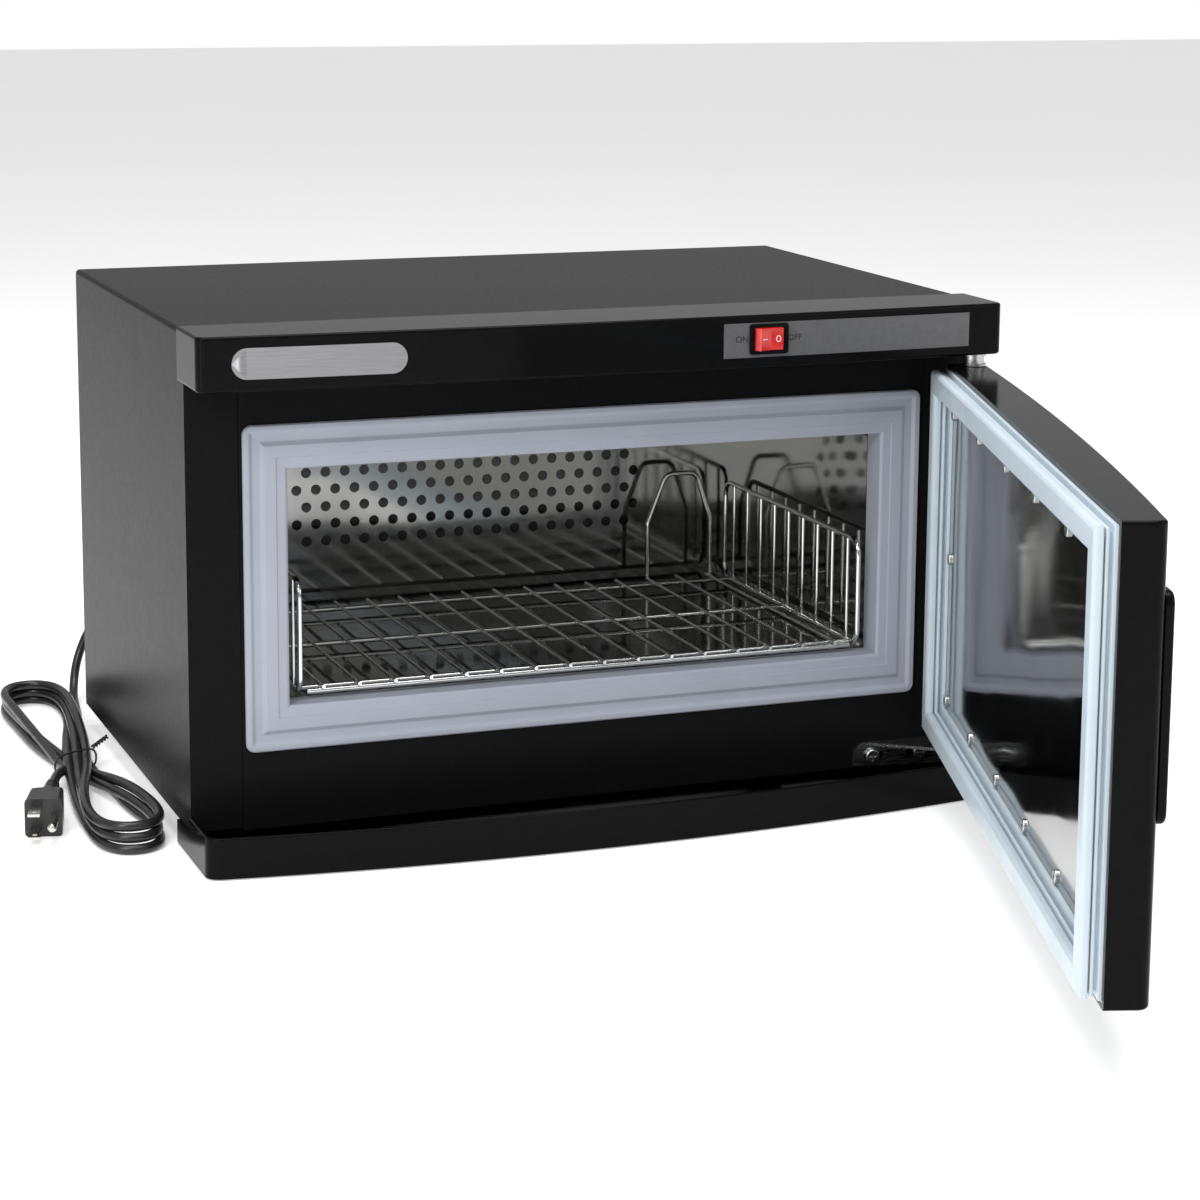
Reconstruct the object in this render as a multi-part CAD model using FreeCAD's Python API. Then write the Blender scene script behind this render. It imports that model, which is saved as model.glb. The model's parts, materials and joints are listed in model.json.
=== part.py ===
import FreeCAD, Part
import math
import os

from FreeCAD import Vector

# Countertop hot towel cabinet. Millimetres, +Z up, X to the right as seen from the front, the
# front faces -Y. The origin is on the counter, under the middle of the sheet-metal body.
# The door is drawn shut and then swung open about its pin to its rest pose.

# ---- body ----
WIDTH = 450.0
DEPTH = 280.0
TOP_Z = 280.0
BASE_Z = 14.0
SHEET = 1.2
FLANGE_W = 28.0
HALF_W = WIDTH / 2
FRONT_Y = -DEPTH / 2
REAR_Y = DEPTH / 2

# ---- cavity, its liner and the moulded frame round its mouth ----
MOUTH_HALF = 171.0
MOUTH_Z0, MOUTH_Z1 = 78.5, 206.5
MOUTH_R = 6.0
FRAME_HALF = 195.0
FRAME_Z0, FRAME_Z1 = 54.5, 229.5
FRAME_PROUD = 2.0
LINER_T = 0.8
LINER_REAR_Y = 78.0
HEATER_BOX_DEPTH = 24.0
INSULATION_T = 16.0
TERMINAL_X = -155.0

# ---- canopy ----
CANOPY_PROUD = 37.0
CANOPY_BOW = 5.5
CANOPY_Z0, CANOPY_Z1 = 253.0, 281.4
CANOPY_HALF = 226.4
CANOPY_WRAP = 8.0
CANOPY_WALL = 2.4

# ---- drip tray ----
TRAY_PROUD = 41.0
TRAY_BOW = 17.6
TRAY_HALF = 226.0
TRAY_LIP_Z = 22.5
TRAY_Z0 = 0.8
TRAY_REAR = 29.0
TRAY_WALL = 2.4

# ---- door, drawn shut ----
PIN_X, PIN_Y, PIN_R = 215.0, -166.0, 2.5
DOOR_OPEN_DEG = 72.1
DOOR_X0, DOOR_X1 = -219.0, 224.0
DOOR_Z0, DOOR_Z1 = 32.0, 245.5
DOOR_RIM_Y = PIN_Y + 13.0
DOOR_BACK_Y = DOOR_RIM_Y - 20.5
DOOR_BOW = 5.5
DOOR_WALL = 2.4
GASKET_X0, GASKET_X1 = -215.0, 220.0
GASKET_Z0, GASKET_Z1 = 35.5, 243.0
GASKET_FACE_Y = DOOR_RIM_Y + 10.5
GASKET_BAR = 13.0
PANEL_T = 0.8
HANDLE_X, HANDLE_Z0, HANDLE_Z1 = DOOR_X0 + 14.0, 112.0, 214.0
HANDLE_SCREW_INSET = 14.0

# ---- switch ----
SWITCH_X, SWITCH_Z = 83.0, 268.4
BEZEL_W, BEZEL_H = 22.4, 16.4
ROCKER_R, ROCKER_H = 9.0, 12.0
ROCKER_TILT = 10.0

# ---- wire rack ----
RACK_HALF = 163.0
RACK_Y0, RACK_Y1 = -134.0, 62.0
RACK_CROSS_Y = (-122.0, -30.0, 51.0)
RACK_FLOOR_Z = 82.5
RACK_SIDE_Z = 143.0
RIM_R, WIRE_R, TIE_WIRE_R = 1.5, 1.0, 1.25

# ---- feet and cord ----
FOOT_X, FOOT_Y0, FOOT_Y1, FOOT_R = 185.0, -92.0, 104.0, 12.0
CORD_R = 2.75
GLAND = Vector(-196.0, REAR_Y, 60.0)
BOOT_LENGTH = 32.0
# The lead leaves the boot towards the rear, turns to the left and down, and runs forward along
# the left side into the hank. The tail comes out of the hank and goes into the plug.
LEAD_ROUTE = [Vector(GLAND.x, REAR_Y + BOOT_LENGTH - 6, GLAND.z), Vector(-198, 193, 58.5),
              Vector(-207, 212, 46), Vector(-217, 211, 24), Vector(-222.5, 196, 6.5),
              Vector(-225, 175, CORD_R), Vector(-227.5, 154, CORD_R), Vector(-233.5, 134, CORD_R)]
PLUG_BACK = Vector(-274.5, -15.0, 10.6)
PLUG_TURN_DEG = -15.0
TAIL_ROUTE = [Vector(-258, 32, 5.0), Vector(-263.5, 16, 8.6), Vector(-270.62, -0.51, 10.6),
              Vector(-278.12, -28.52, 10.6)]
WAIST_X, WAIST_Y, WAIST_HALF = -251.0, 40.0, 13.5
# Each lobe of the hank: centre x, centre y, radius, and the y where it starts to narrow.
LOBES = [(-251.0, 187.0, 21.0, 168.0), (-249.5, -108.0, 20.0, -90.0)]
HANK_HEIGHT = 16.6
TIE_LENGTH, TIE_T = 3.5, 0.9
PLUG_W, PLUG_H, PLUG_L, PLUG_BOOT = 21.0, 20.0, 36.0, 27.0
PLUG_ROLL_DEG = -90.0

os.makedirs("parts", exist_ok=True)


# ------------------------------------------------------------------ helpers
def save(name, *solids):
    """Writes one node; several solids make a compound."""
    shape = solids[0] if len(solids) == 1 else Part.makeCompound(list(solids))
    shape.exportStep("parts/" + name + ".step")


def block(x0, x1, y0, y1, z0, z1):
    return Part.makeBox(x1 - x0, y1 - y0, z1 - z0, Vector(x0, y0, z0))


def rod(radius, start, end):
    axis = end - start
    return Part.makeCylinder(radius, axis.Length, start, axis)


def fuse(shapes):
    return shapes[0].multiFuse(shapes[1:]).removeSplitter()


def fillet(shape, radius, wanted):
    """Rounds each edge whose middle point the test accepts."""
    edges = [e for e in shape.Edges if wanted(e, e.valueAt((e.FirstParameter + e.LastParameter) / 2))]
    return shape.makeFillet(radius, edges) if edges else shape


def upright(edge):
    box = edge.BoundBox
    return box.XLength < 0.01 and box.YLength < 0.01


def along_y(edge):
    box = edge.BoundBox
    return box.XLength < 0.01 and box.ZLength < 0.01


def bowed(x0, x1, y_end, bow, y_rear, z0, z1, corner_r=0.0):
    """A block whose front face is an arc in plan, `bow` proud at its middle."""
    left, right = Vector(x0, y_end, z0), Vector(x1, y_end, z0)
    middle = Vector((x0 + x1) / 2, y_end - bow, z0)
    rear_left, rear_right = Vector(x0, y_rear, z0), Vector(x1, y_rear, z0)
    outline = Part.Wire([Part.makeLine(rear_left, left), Part.Arc(left, middle, right).toShape(),
                         Part.makeLine(right, rear_right), Part.makeLine(rear_right, rear_left)])
    solid = Part.Face(outline).extrude(Vector(0, 0, z1 - z0))
    if corner_r:
        solid = fillet(solid, corner_r, lambda e, m: upright(e) and abs(m.y - y_end) < 0.01)
    return solid


def rounded_block(x0, x1, y0, y1, z0, z1, radius):
    """A block with its four edges along Y rounded."""
    return fillet(block(x0, x1, y0, y1, z0, z1), radius, lambda e, m: along_y(e))


def pill(x0, x1, y0, y1, z0, z1):
    """A block along Y with fully rounded ends, slot-shaped as seen from the front."""
    half = (z1 - z0) / 2
    ends = [rod(half, Vector(x, y0, z0 + half), Vector(x, y1, z0 + half)) for x in (x0 + half, x1 - half)]
    return fuse([block(x0 + half, x1 - half, y0, y1, z0, z1)] + ends)


def tube(points, radius):
    """Straight runs joined by tangent arcs, swept with a round section."""
    arcs = []
    for before, corner, after in zip(points, points[1:], points[2:]):
        into, out = corner - before, after - corner
        turn = into.getAngle(out)
        run = min(into.Length, out.Length)
        setback = 0.45 * run
        into.normalize()
        out.normalize()
        start, end = corner - into * setback, corner + out * setback
        bisector = (out - into).normalize()
        bend_r = setback / math.tan(turn / 2)
        middle = corner + bisector * (bend_r / math.cos(turn / 2) - bend_r)
        arcs.append((start, middle, end, bend_r))
    edges, here = [], points[0]
    for start, middle, end, bend_r in arcs:
        edges.append(Part.makeLine(here, start))
        edges.append(Part.Arc(start, middle, end).toShape())
        here = end
    edges.append(Part.makeLine(here, points[-1]))
    spine = Part.Wire(edges)
    section = Part.Wire(Part.Circle(points[0], points[1] - points[0], radius).toShape())
    return spine.makePipeShell([section], True, False), [arc[3] for arc in arcs]


def tube_with_radius(points, radius, bend_r):
    """A bent tube with one bend radius, for wires and bars that are formed on a jig."""
    edges, here = [], points[0]
    for before, corner, after in zip(points, points[1:], points[2:]):
        into, out = corner - before, after - corner
        turn = into.getAngle(out)
        into.normalize()
        out.normalize()
        setback = bend_r * math.tan(turn / 2)
        start, end = corner - into * setback, corner + out * setback
        middle = corner + (out - into).normalize() * (bend_r / math.cos(turn / 2) - bend_r)
        edges += [Part.makeLine(here, start), Part.Arc(start, middle, end).toShape()]
        here = end
    edges.append(Part.makeLine(here, points[-1]))
    section = Part.Wire(Part.Circle(points[0], points[1] - points[0], radius).toShape())
    return Part.Wire(edges).makePipeShell([section], True, False)


def wire_loop(corners, radius, bend_r):
    """A closed loop of round wire through square corners; it starts in the middle of the last side."""
    bends = []
    for before, corner, after in zip(corners[-1:] + corners, corners, corners[1:] + corners[:1]):
        back, on = (before - corner).normalize() * bend_r, (after - corner).normalize() * bend_r
        middle = corner + (back + on) * (1 - math.sqrt(0.5))
        bends.append((corner + back, middle, corner + on))
    start = (bends[-1][2] + bends[0][0]) * 0.5
    edges, here = [], start
    for enter, middle, leave in bends:
        edges += [Part.makeLine(here, enter), Part.Arc(enter, middle, leave).toShape()]
        here = leave
    edges.append(Part.makeLine(here, start))
    section = Part.Wire(Part.Circle(start, start - here, radius).toShape())
    return Part.Wire(edges).makePipeShell([section], True, False)


def pan_head(x, y, z, direction, head_r=3.5, head_h=2.0, shank_r=1.7, shank=6.0):
    """A pan-head screw with a cross recess; direction points out of the surface."""
    at = Vector(x, y, z)
    head = rod(head_r, at, at + direction * head_h)
    head = head.makeFillet(head_h * 0.45, [e for e in head.Edges
                                           if (e.CenterOfMass - at).Length > head_h * 0.9 and e.Closed])
    side = Vector(0, 0, 1) if abs(direction.z) < 0.5 else Vector(1, 0, 0)
    other = direction.cross(side)
    depth, half, thick = head_h * 0.55, head_r * 0.62, head_r * 0.14
    for along, across in ((side, other), (other, side)):
        corners = [at + direction * (head_h + 0.1) + along * a * half + across * b * thick
                   for a, b in ((-1, -1), (1, -1), (1, 1), (-1, 1))]
        face = Part.Face(Part.makePolygon(corners + corners[:1]))
        head = head.cut(face.extrude(direction * -(depth + 0.1)))
    return fuse([head, rod(shank_r, at - direction * shank, at)])


def swung(shape):
    """Turns a piece of the shut door to the rest pose."""
    turned = shape.copy()
    turned.rotate(Vector(PIN_X, PIN_Y, 0), Vector(0, 0, 1), DOOR_OPEN_DEG)
    return turned


# ------------------------------------------------------------------ sheet-metal body
def outer_shell():
    """One sheet folded into top and sides, with return flanges at the front and rear."""
    outer = fillet(block(-HALF_W, HALF_W, FRONT_Y, REAR_Y, BASE_Z, TOP_Z), 2.5,
                   lambda e, m: along_y(e) and m.z > TOP_Z - 1)
    inner = block(-HALF_W + SHEET, HALF_W - SHEET, FRONT_Y - 1, REAR_Y + 1, BASE_Z - 1, TOP_Z - SHEET)
    shell = outer.cut(inner)
    flanges = []
    for side in (-1, 1):
        edge = side * (HALF_W - SHEET / 2)
        front_in, rear_in = side * (HALF_W - FLANGE_W), side * (HALF_W - 12.0)
        flanges.append(block(min(edge, front_in), max(edge, front_in), FRONT_Y, FRONT_Y + SHEET,
                             BASE_Z, TOP_Z - SHEET / 2))
        flanges.append(block(min(edge, rear_in), max(edge, rear_in), REAR_Y - 2 * SHEET - 0.1,
                             REAR_Y - SHEET - 0.1, BASE_Z, TOP_Z - SHEET / 2))
    return fuse([shell] + flanges)


def front_panel():
    edge = HALF_W - FLANGE_W - 0.3
    panel = block(-edge, edge, FRONT_Y, FRONT_Y + SHEET, BASE_Z - 1.5, TOP_Z - SHEET - 0.3)
    mouth = block(-MOUTH_HALF - 9, MOUTH_HALF + 9, FRONT_Y - 1, FRONT_Y + 9, MOUTH_Z0 - 9, MOUTH_Z1 + 9)
    cable_hole = rod(9.0, Vector(SWITCH_X, FRONT_Y - 1, 266), Vector(SWITCH_X, FRONT_Y + 3, 266))
    return panel.cut(mouth).cut(cable_hole)


def back_panel():
    edge = HALF_W - SHEET - 0.3
    panel = block(-edge, edge, REAR_Y - SHEET, REAR_Y, BASE_Z + 0.2, TOP_Z - SHEET - 0.3)
    slots = []
    for z in [30 + 9 * i for i in range(5)] + [222 + 9 * i for i in range(5)]:
        for x in (-60, 0, 60, 120):
            slots.append(pill(x - 22, x + 22, REAR_Y - 3, REAR_Y + 1, z, z + 3.6))
    hole = rod(6.6, GLAND + Vector(0, -4, 0), GLAND + Vector(0, 2, 0))
    return panel.cut(Part.makeCompound(slots)).cut(hole)


def bottom_panel():
    edge = HALF_W - SHEET - 0.3
    y0, y1 = FRONT_Y + SHEET + 0.3, REAR_Y - 2 * SHEET - 0.4
    pan = block(-edge, edge, y0, y1, BASE_Z, BASE_Z + 12).cut(
        block(-edge + SHEET, edge - SHEET, y0 + SHEET, y1 - SHEET, BASE_Z + SHEET, BASE_Z + 13))
    slots = [block(x - 2, x + 2, -20, 40, BASE_Z - 1, BASE_Z + 3) for x in range(-120, 121, 24)]
    holes = [rod(2.2, Vector(x, y, BASE_Z - 1), Vector(x, y, BASE_Z + 3))
             for x in (-FOOT_X, FOOT_X) for y in (FOOT_Y0, FOOT_Y1)]
    return pan.cut(Part.makeCompound(slots + holes))


def breaker_frame():
    """Moulded plastic ring: rounded outer bead, flat band, raised inner step and a throat."""
    def loop(half, z0, z1, radius, y0, y1):
        return rounded_block(-half, half, y0, y1, z0, z1, radius)

    rim = FRAME_HALF - MOUTH_HALF
    inner = loop(MOUTH_HALF, MOUTH_Z0, MOUTH_Z1, MOUTH_R, FRONT_Y - 9, FRONT_Y + 40)

    def band(out_by, in_by, proud):
        y0 = FRONT_Y - proud
        outer = loop(FRAME_HALF - out_by, FRAME_Z0 + out_by, FRAME_Z1 - out_by, 5.0, y0, FRONT_Y - 0.05)
        hole = loop(FRAME_HALF - in_by, FRAME_Z0 + in_by, FRAME_Z1 - in_by, 4.0, y0 - 1, FRONT_Y + 1)
        return outer.cut(hole)

    bead = band(0, 5.0, FRAME_PROUD)
    bead = fillet(bead, 1.2, lambda e, m: abs(m.y - FRONT_Y + FRAME_PROUD) < 0.01)
    flat = loop(FRAME_HALF - 3, FRAME_Z0 + 3, FRAME_Z1 - 3, 4.0, FRONT_Y - 0.9, FRONT_Y - 0.05).cut(inner)
    step = band(rim - 7.0, rim, 1.7).cut(inner)
    throat = loop(MOUTH_HALF + 2.2, MOUTH_Z0 - 2.2, MOUTH_Z1 + 2.2, MOUTH_R + 2, FRONT_Y - 0.5,
                  FRONT_Y + 16).cut(inner)
    return fuse([bead, flat, step, throat])


def cavity_liner():
    """Stainless box, open in front; the rear wall is perforated to let the heat through."""
    y0 = FRONT_Y + 16.3
    outer = rounded_block(-MOUTH_HALF - LINER_T, MOUTH_HALF + LINER_T, y0, LINER_REAR_Y + LINER_T,
                          MOUTH_Z0 - LINER_T, MOUTH_Z1 + LINER_T, MOUTH_R + LINER_T)
    inner = rounded_block(-MOUTH_HALF, MOUTH_HALF, y0 - 1, LINER_REAR_Y, MOUTH_Z0, MOUTH_Z1, MOUTH_R)
    holes = []
    pitch_x, pitch_z, rows, columns = 12.0, 10.5, 8, 19
    for row in range(rows):
        shift = pitch_x / 2 if row % 2 else 0.0
        z = 192.0 - row * pitch_z
        for column in range(columns - (row % 2)):
            x = (column - (columns - 1) / 2) * pitch_x + shift
            holes.append(rod(3.1, Vector(x, LINER_REAR_Y - 1, z), Vector(x, LINER_REAR_Y + 3, z)))
    return outer.cut(inner).cut(Part.makeCompound(holes))


def heater_box():
    """Pan behind the perforated wall that holds the heating element."""
    y0 = LINER_REAR_Y + LINER_T + 0.1
    y1 = y0 + HEATER_BOX_DEPTH
    return block(-140, 140, y0, y1, 96, 202).cut(block(-139.2, 139.2, y0 - 1, y1 - 0.8, 96.8, 201.2))


def heating_element():
    """Sheathed element bent into two long passes, with its ends through the rear of the pan."""
    y = LINER_REAR_Y + LINER_T + 12
    end_y = LINER_REAR_Y + LINER_T + HEATER_BOX_DEPTH + 12
    route = [Vector(-100, end_y, 176), Vector(-100, y, 176), Vector(118, y, 176), Vector(118, y, 122),
             Vector(-118, y, 122), Vector(-118, end_y, 122)]
    return tube_with_radius(route, 3.3, 9.0)


def insulation():
    """Mineral wool wrapped round the liner and the heater pan, with windows for the terminals."""
    y0 = FRONT_Y + 18
    liner_gap, t = LINER_T + 0.3, INSULATION_T
    rear = LINER_REAR_Y + LINER_T + HEATER_BOX_DEPTH + 0.4
    outer = block(-MOUTH_HALF - t, MOUTH_HALF + t, y0, rear + 12, MOUTH_Z0 - t, MOUTH_Z1 + t)
    room = block(-MOUTH_HALF - liner_gap, MOUTH_HALF + liner_gap, y0 - 1, rear,
                 MOUTH_Z0 - liner_gap, MOUTH_Z1 + liner_gap)
    windows = [block(x - w, x + w, rear - 1, rear + 14, z - 12, z + 12)
               for x, z, w in ((-100, 176, 12), (-118, 122, 12), (60, 150, 34))]
    return outer.cut(room).cut(Part.makeCompound(windows))


def thermostat():
    y = LINER_REAR_Y + LINER_T + HEATER_BOX_DEPTH + 0.2
    at = Vector(50, y, 150)
    body = [rod(9.0, at, at + Vector(0, 5, 0)), rod(7.5, at + Vector(0, 5, 0), at + Vector(0, 11, 0)),
            block(38, 62, y, y + 0.8, 147, 153)]
    tabs = [block(x - 1.6, x + 1.6, y + 10.5, y + 17, 149.6, 150.4) for x in (45, 55)]
    return fuse(body + tabs)


def thermal_fuse():
    y = LINER_REAR_Y + LINER_T + HEATER_BOX_DEPTH + 3.2
    return fuse([rod(2.0, Vector(70, y, 150), Vector(82, y, 150)),
                 rod(0.6, Vector(66, y, 150), Vector(86, y, 150))])


def terminal_block():
    body = block(TERMINAL_X - 15, TERMINAL_X + 15, 100, 118, BASE_Z + SHEET + 0.1, BASE_Z + SHEET + 18)
    wells = [rod(2.6, Vector(TERMINAL_X + dx, 109, BASE_Z + 10), Vector(TERMINAL_X + dx, 109, BASE_Z + 30))
             for dx in (-10, 0, 10)]
    return body.cut(Part.makeCompound(wells))


def wiring():
    """Mains leads from the terminal block up the left side to the switch, and to the heater."""
    z0 = BASE_Z + SHEET + 15
    leads = []
    for i, side_x in enumerate((-214.0, -209.0, -204.0)):
        x = TERMINAL_X - 10 + 10 * i
        top, rear_y = 250.0 - 5 * i, 124.0 + 3 * i
        leads.append(tube_with_radius([Vector(x, 118.2, z0 - 6), Vector(x, rear_y, z0 - 6),
                                       Vector(side_x, rear_y, z0 - 6), Vector(side_x, rear_y, top),
                                       Vector(side_x, -126 + 5 * i, top),
                                       Vector(SWITCH_X - 4 + 4 * i, -126 + 5 * i, top),
                                       Vector(SWITCH_X - 4 + 4 * i, -126 + 5 * i, 266),
                                       Vector(SWITCH_X - 4 + 4 * i, -152, 266)], 1.1, 2.4))
    return leads


# ------------------------------------------------------------------ canopy and switch
def canopy():
    """Moulded fascia over the top of the front: holds the switch, badge and upper hinge."""
    outer = bowed(-CANOPY_HALF, CANOPY_HALF, FRONT_Y - CANOPY_PROUD, CANOPY_BOW, FRONT_Y + CANOPY_WRAP,
                  CANOPY_Z0, CANOPY_Z1, 5.0)
    outer = fillet(outer, 1.6, lambda e, m: not upright(e) and m.y < FRONT_Y + CANOPY_WRAP - 0.1)
    w = CANOPY_WALL
    room = bowed(-CANOPY_HALF + w, CANOPY_HALF - w, FRONT_Y - CANOPY_PROUD + w, CANOPY_BOW, FRONT_Y + 0.2,
                 CANOPY_Z0 + w, CANOPY_Z1 - w, 3.0)
    body_room = block(-HALF_W - 0.1, HALF_W + 0.1, FRONT_Y - 0.1, REAR_Y, 0, TOP_Z + 0.1)
    shell = outer.cut(room).cut(body_room)
    switch_hole = block(SWITCH_X - 9.8, SWITCH_X + 9.8, -200, -170, SWITCH_Z - 7.0, SWITCH_Z + 7.0)
    pin_hole = rod(PIN_R + 0.1, Vector(PIN_X, PIN_Y, CANOPY_Z0 - 1), Vector(PIN_X, PIN_Y, CANOPY_Z0 + 5))
    pocket = control_strip_blank(0.2)
    return shell.cut(switch_hole).cut(pin_hole).cut(pocket)


def skin(x0, x1, z0, z1, depth_in, depth_out):
    """A thin layer that follows the canopy's bowed front, cut to a block."""
    y_end = FRONT_Y - CANOPY_PROUD
    far = bowed(-CANOPY_HALF, CANOPY_HALF, y_end - depth_out, CANOPY_BOW, -150, z0, z1)
    near = bowed(-CANOPY_HALF, CANOPY_HALF, y_end + depth_in, CANOPY_BOW, -140, z0 - 1, z1 + 1)
    return far.cut(near).common(block(x0, x1, -200, -165, z0, z1))


def control_strip_blank(gap):
    return skin(57.0 - gap, 205.0 + gap, 258.6 - gap, 277.2 + gap, 0.6, 1.0)


def control_strip():
    strip = skin(57.0, 205.0, 258.6, 277.2, 0.55, 0.0)
    hole = block(SWITCH_X - 9.8, SWITCH_X + 9.8, -200, -170, SWITCH_Z - 7.0, SWITCH_Z + 7.0)
    return strip.cut(hole)


def badge_plate():
    layer = skin(-209.0, -118.0, 259.4, 275.4, -0.02, 0.9)
    return layer.common(pill(-209.0, -118.0, -200, -165, 259.4, 275.4))


def surface_y(x):
    """Where the canopy's front face is, in plan, at a given x."""
    return FRONT_Y - CANOPY_PROUD - CANOPY_BOW * (1 - (x / CANOPY_HALF) ** 2)


def switch_frames():
    face_y = surface_y(SWITCH_X) - 1.6
    pivot_y = face_y + 4.0
    return face_y, pivot_y


def switch_housing():
    face_y, pivot_y = switch_frames()
    x0, x1 = SWITCH_X - BEZEL_W / 2, SWITCH_X + BEZEL_W / 2
    z0, z1 = SWITCH_Z - BEZEL_H / 2, SWITCH_Z + BEZEL_H / 2
    bezel = rounded_block(x0, x1, face_y, face_y + 1.5, z0, z1, 1.6)
    bezel = fillet(bezel, 0.5, lambda e, m: abs(m.y - face_y) < 0.01)
    body = block(SWITCH_X - 9.7, SWITCH_X + 9.7, face_y + 1, face_y + 19, SWITCH_Z - 6.9, SWITCH_Z + 6.9)
    bore = rod(ROCKER_R + 0.3, Vector(SWITCH_X, pivot_y, SWITCH_Z - ROCKER_H / 2 - 0.3),
               Vector(SWITCH_X, pivot_y, SWITCH_Z + ROCKER_H / 2 + 0.3))
    tabs = [block(SWITCH_X + dx - 0.4, SWITCH_X + dx + 0.4, face_y + 18.5, face_y + 26,
                  SWITCH_Z - 3, SWITCH_Z + 3) for dx in (-6, 0, 6)]
    return fuse([bezel, body] + tabs).cut(bore)


def rocker():
    """Rocker of a barrel section: its ends stay inside one circle as it tilts."""
    face_y, pivot_y = switch_frames()
    z0, z1 = SWITCH_Z - ROCKER_H / 2, SWITCH_Z + ROCKER_H / 2
    barrel = rod(ROCKER_R, Vector(SWITCH_X, pivot_y, z0), Vector(SWITCH_X, pivot_y, z1))
    half, rise = 12.0, 12.0 * math.tan(math.radians(ROCKER_TILT))
    middle_y = pivot_y - 4.5
    outline = [Vector(SWITCH_X - half, middle_y - rise, z0), Vector(SWITCH_X, middle_y, z0),
               Vector(SWITCH_X + half, middle_y - rise, z0), Vector(SWITCH_X + half, pivot_y + 3, z0),
               Vector(SWITCH_X - half, pivot_y + 3, z0)]
    wedge = Part.Face(Part.makePolygon(outline + outline[:1])).extrude(Vector(0, 0, z1 - z0))
    body = barrel.common(wedge)
    body = fillet(body, 0.5, lambda e, m: not upright(e) and m.y < pivot_y - 2)
    body.rotate(Vector(SWITCH_X, pivot_y, 0), Vector(0, 0, 1), ROCKER_TILT)
    return body


# ------------------------------------------------------------------ hinges
def upper_hinge_plate():
    """Steel bracket inside the canopy; carries the upper pin and is screwed to the front."""
    z0 = CANOPY_Z0 + CANOPY_WALL + 0.1
    plate = block(196, 223, PIN_Y - 7, FRONT_Y - 0.2, z0, z0 + 2.0)
    tab = block(196, 223, FRONT_Y - 1.8, FRONT_Y - 0.2, z0, z0 + 20)
    hole = rod(PIN_R + 0.01, Vector(PIN_X, PIN_Y, z0 - 1), Vector(PIN_X, PIN_Y, z0 + 4))
    return fuse([plate, tab]).cut(hole)


def upper_hinge_pin():
    z0 = CANOPY_Z0 + CANOPY_WALL + 2.1
    shaft = rod(PIN_R, Vector(PIN_X, PIN_Y, DOOR_Z1 - 11), Vector(PIN_X, PIN_Y, z0 + 0.5))
    head = rod(5.0, Vector(PIN_X, PIN_Y, z0 + 0.05), Vector(PIN_X, PIN_Y, z0 + 2.6))
    return fuse([shaft, head])


def stack_ring(outer_r, z0, z1, inner_r=PIN_R + 0.05):
    outer = rod(outer_r, Vector(PIN_X, PIN_Y, z0), Vector(PIN_X, PIN_Y, z1))
    return outer.cut(rod(inner_r, Vector(PIN_X, PIN_Y, z0 - 1), Vector(PIN_X, PIN_Y, z1 + 1)))


def lower_hinge_bracket():
    """Slotted steel angle screwed to the front, its arm reaching out under the door's pin."""
    y1 = FRONT_Y - 0.1
    y0 = y1 - 1.6
    top_z = 27.0
    outline = [Vector(158, y0, 14.0), Vector(208, y0, 11.0), Vector(222, y0, 11.0), Vector(222, y0, top_z),
               Vector(163, y0, top_z), Vector(158, y0, top_z - 4)]
    plate = Part.Face(Part.makePolygon(outline + outline[:1])).extrude(Vector(0, 1.6, 0))
    arm_line = [Vector(165, y1, top_z - 1.8), Vector(222, y1, top_z - 1.8),
                Vector(222, PIN_Y - 4, top_z - 1.8), Vector(219, PIN_Y - 7, top_z - 1.8),
                Vector(210, PIN_Y - 7, top_z - 1.8)]
    arm = Part.Face(Part.makePolygon(arm_line + arm_line[:1])).extrude(Vector(0, 0, 1.8))
    slots = [pill(x - 6.5, x + 6.5, y0 - 1, y1 + 1, 17.0, 21.4) for x in (171, 198)]
    hole = rod(PIN_R + 0.01, Vector(PIN_X, PIN_Y, top_z - 4), Vector(PIN_X, PIN_Y, top_z + 4))
    return fuse([plate, arm]).cut(Part.makeCompound(slots)).cut(hole)


def lower_hinge_pin():
    shaft = rod(PIN_R, Vector(PIN_X, PIN_Y, 24.4), Vector(PIN_X, PIN_Y, DOOR_Z0 + 11))
    head = rod(4.5, Vector(PIN_X, PIN_Y, 23.2), Vector(PIN_X, PIN_Y, 25.1))
    return fuse([shaft, head])


# ------------------------------------------------------------------ drip tray and feet
def drip_tray():
    """Shallow moulded tray with a bowed front lip; two tongues run in guides under the body."""
    y_end, w = FRONT_Y - TRAY_PROUD, TRAY_WALL
    rear = FRONT_Y + TRAY_REAR
    side_z, rear_z = BASE_Z - 0.6, 8.0
    front = bowed(-TRAY_HALF, TRAY_HALF, y_end, TRAY_BOW, FRONT_Y - 0.6, TRAY_Z0, TRAY_LIP_Z, 8.0)
    back = block(-TRAY_HALF, TRAY_HALF, FRONT_Y - 0.7, rear, TRAY_Z0, side_z)
    outer = fuse([front, back])
    room = bowed(-TRAY_HALF + w, TRAY_HALF - w, y_end + w, TRAY_BOW, rear - w, TRAY_Z0 + 2.0,
                 TRAY_LIP_Z + 1, 6.0)
    low_rear = block(-TRAY_HALF + w, TRAY_HALF - w, rear - w - 0.1, rear + 1, rear_z, 30)
    tray = outer.cut(room).cut(low_rear)
    tray = fillet(tray, 0.9, lambda e, m: abs(m.z - TRAY_LIP_Z) < 0.01 and m.y < FRONT_Y - 5)
    tongues = [block(x - 5, x + 5, rear - 1, FOOT_Y0 + 62, 4.0, 6.4) for x in (-120, 120)]
    return fuse([tray] + tongues)


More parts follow.
